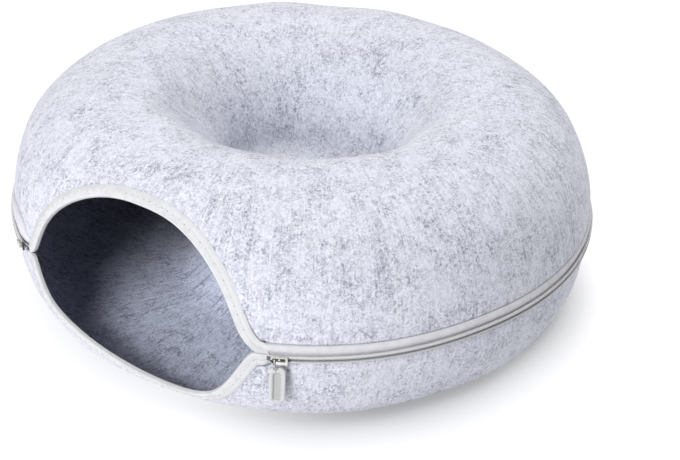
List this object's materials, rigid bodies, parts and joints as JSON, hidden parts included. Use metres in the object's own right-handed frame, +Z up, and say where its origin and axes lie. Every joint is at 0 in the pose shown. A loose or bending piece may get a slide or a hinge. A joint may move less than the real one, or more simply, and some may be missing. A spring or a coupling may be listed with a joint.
{
  "type": "cat tunnel",
  "caption": "Ring-shaped felt cat tunnel with a bound arched doorway, a bowl-shaped hollow in its top and a zip round its side.",
  "frame": {"origin": "middle of the footprint's bounding box, on the floor; the ring's own axis is 4.2 mm in front of it, towards the doorway", "axes": "+Z up along the ring's axis, the doorway faces -Y, +X to the right as one looks into the doorway"},
  "size_m": [0.504, 0.4956, 0.1814],
  "materials": {
    "felt": "pale grey-white marled needle felt with darker grey fibres",
    "binding": "off-white woven binding tape with a stitched edge",
    "zip_tape": "smooth light grey woven tape",
    "zip_coil": "light grey nylon coil",
    "zip_metal": "bright nickel-plated cast metal",
    "zip_puller": "satin grey moulded tab"
  },
  "bodies": {
    "root": {"upper_shell": "felt", "lower_shell": "felt", "upper_binding": "binding", "lower_binding": "binding", "zip_tape_upper": "zip_tape", "zip_tape_lower": "zip_tape", "zip_coil_upper": "zip_coil", "zip_coil_lower": "zip_coil", "zip_slider": "zip_metal", "zip_ring": "zip_metal", "zip_end_box": "zip_metal", "zip_puller": "zip_puller"}
  },
  "joints": []
}
